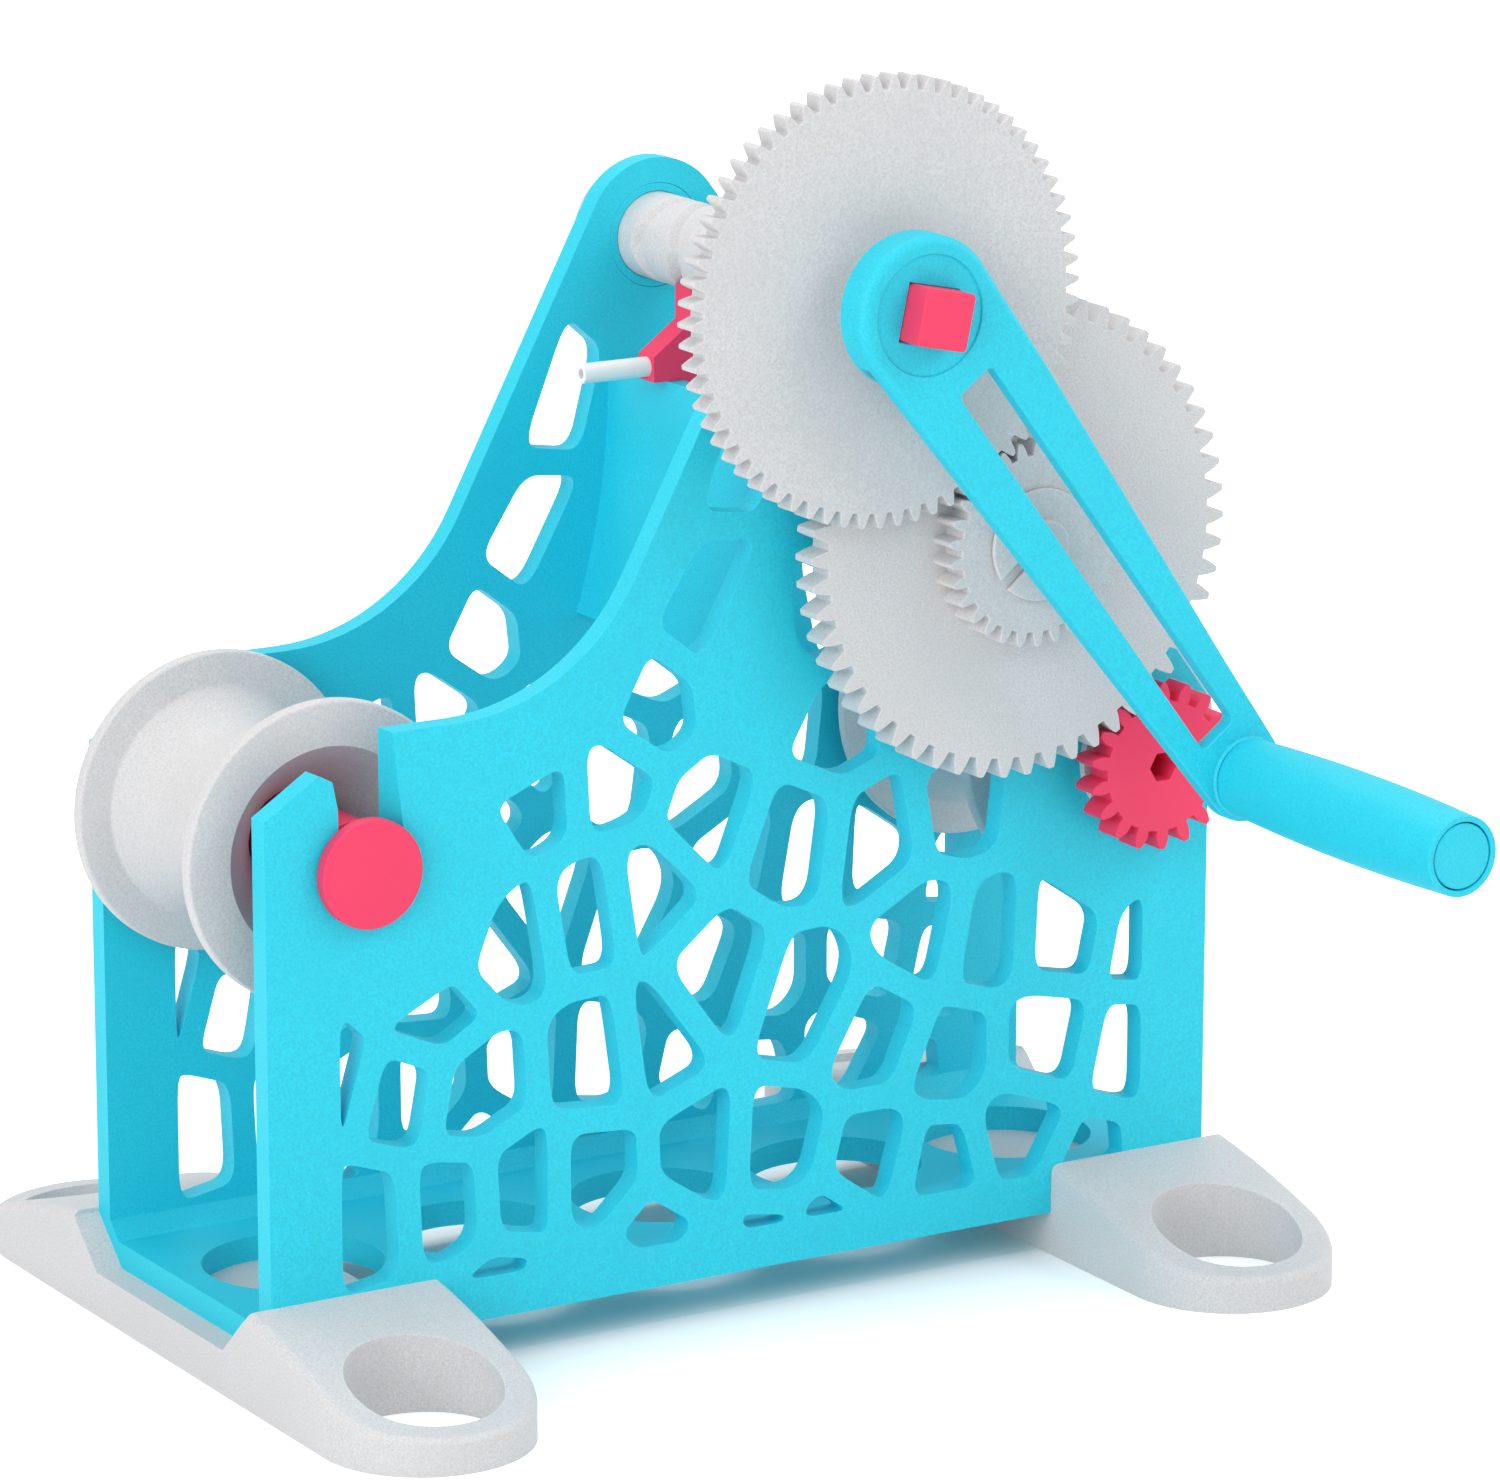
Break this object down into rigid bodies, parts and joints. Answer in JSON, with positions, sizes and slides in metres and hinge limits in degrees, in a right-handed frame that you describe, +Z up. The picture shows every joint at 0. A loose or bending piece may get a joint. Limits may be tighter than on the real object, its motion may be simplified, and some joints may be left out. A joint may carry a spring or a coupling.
{
  "type": "filament spool winder",
  "caption": "Hand-cranked winder on a pierced frame: a gear train drives the take-up spool, and a guide on a reversing screw lays filament from the supply spool.",
  "frame": {"origin": "on the table, in the middle of the four foot holes", "axes": "+X from the supply spool to the take-up spool, +Y from the crank side to the back, +Z up"},
  "size_m": [0.2734, 0.2693, 0.2888],
  "materials": {
    "frame_plastic": "matte, fine print grain",
    "grey_plastic": "matte, fine print grain",
    "red_plastic": "matte",
    "white_tube": "smooth"
  },
  "bodies": {
    "stand": {"frame_wall_front": "frame_plastic", "frame_wall_back": "frame_plastic", "frame_floor": "frame_plastic", "frame_cross_wall": "frame_plastic", "foot_left": "grey_plastic", "foot_right": "grey_plastic", "crank_bush_front": "grey_plastic", "crank_bush_back": "frame_plastic", "take_up_bush_front": "grey_plastic", "take_up_bush_back": "grey_plastic", "idler_pin": "grey_plastic", "idler_clip": "grey_plastic", "idler_spacer": "grey_plastic"},
    "crank": {"crank_gear": "grey_plastic", "crank_shaft": "red_plastic", "reversing_screw": "grey_plastic", "screw_end_cap": "grey_plastic", "crank_arm": "frame_plastic", "handle_pin": "grey_plastic", "handle_cap": "frame_plastic"},
    "handle": {"handle_grip": "frame_plastic"},
    "idler": {"idler_gear": "grey_plastic"},
    "take_up": {"take_up_pinion": "red_plastic", "take_up_arbor": "grey_plastic", "take_up_spool": "grey_plastic"},
    "supply_axle": {"supply_axle": "red_plastic", "supply_axle_cap": "red_plastic"},
    "supply_spool": {"supply_spool": "grey_plastic"},
    "guide": {"guide_follower": "red_plastic", "follower_pawl": "grey_plastic", "guide_tube": "white_tube"}
  },
  "joints": [
    {"name": "crank_turn", "type": "hinge", "parent": "stand", "child": "crank", "pos_m": [0.02153, 0, 0.23783], "axis": [0, 1, 0], "continuous": true},
    {"name": "idler_turn", "type": "hinge", "parent": "stand", "child": "idler", "pos_m": [0.06241, 0, 0.17857], "axis": [0, 1, 0], "continuous": true},
    {"name": "take_up_turn", "type": "hinge", "parent": "stand", "child": "take_up", "pos_m": [0.1033, 0, 0.1193], "axis": [0, 1, 0], "continuous": true},
    {"name": "handle_spin", "type": "hinge", "parent": "crank", "child": "handle", "pos_m": [0.10903, 0, 0.12171], "axis": [0, 1, 0], "continuous": true},
    {"name": "supply_lift", "type": "slide", "parent": "stand", "child": "supply_axle", "axis": [0, 0, 1], "range_m": [0, 0.04]},
    {"name": "supply_spin", "type": "hinge", "parent": "supply_axle", "child": "supply_spool", "pos_m": [-0.1001, 0, 0.1193], "axis": [0, 1, 0], "continuous": true},
    {"name": "guide_traverse", "type": "slide", "parent": "stand", "child": "guide", "axis": [0, 1, 0], "range_m": [-0.034, 0.012]}
  ],
  "couplings": [
    {"joint": "idler_turn", "follows": "crank_turn", "ratio": -2.2},
    {"joint": "take_up_turn", "follows": "crank_turn", "ratio": 6.6}
  ]
}
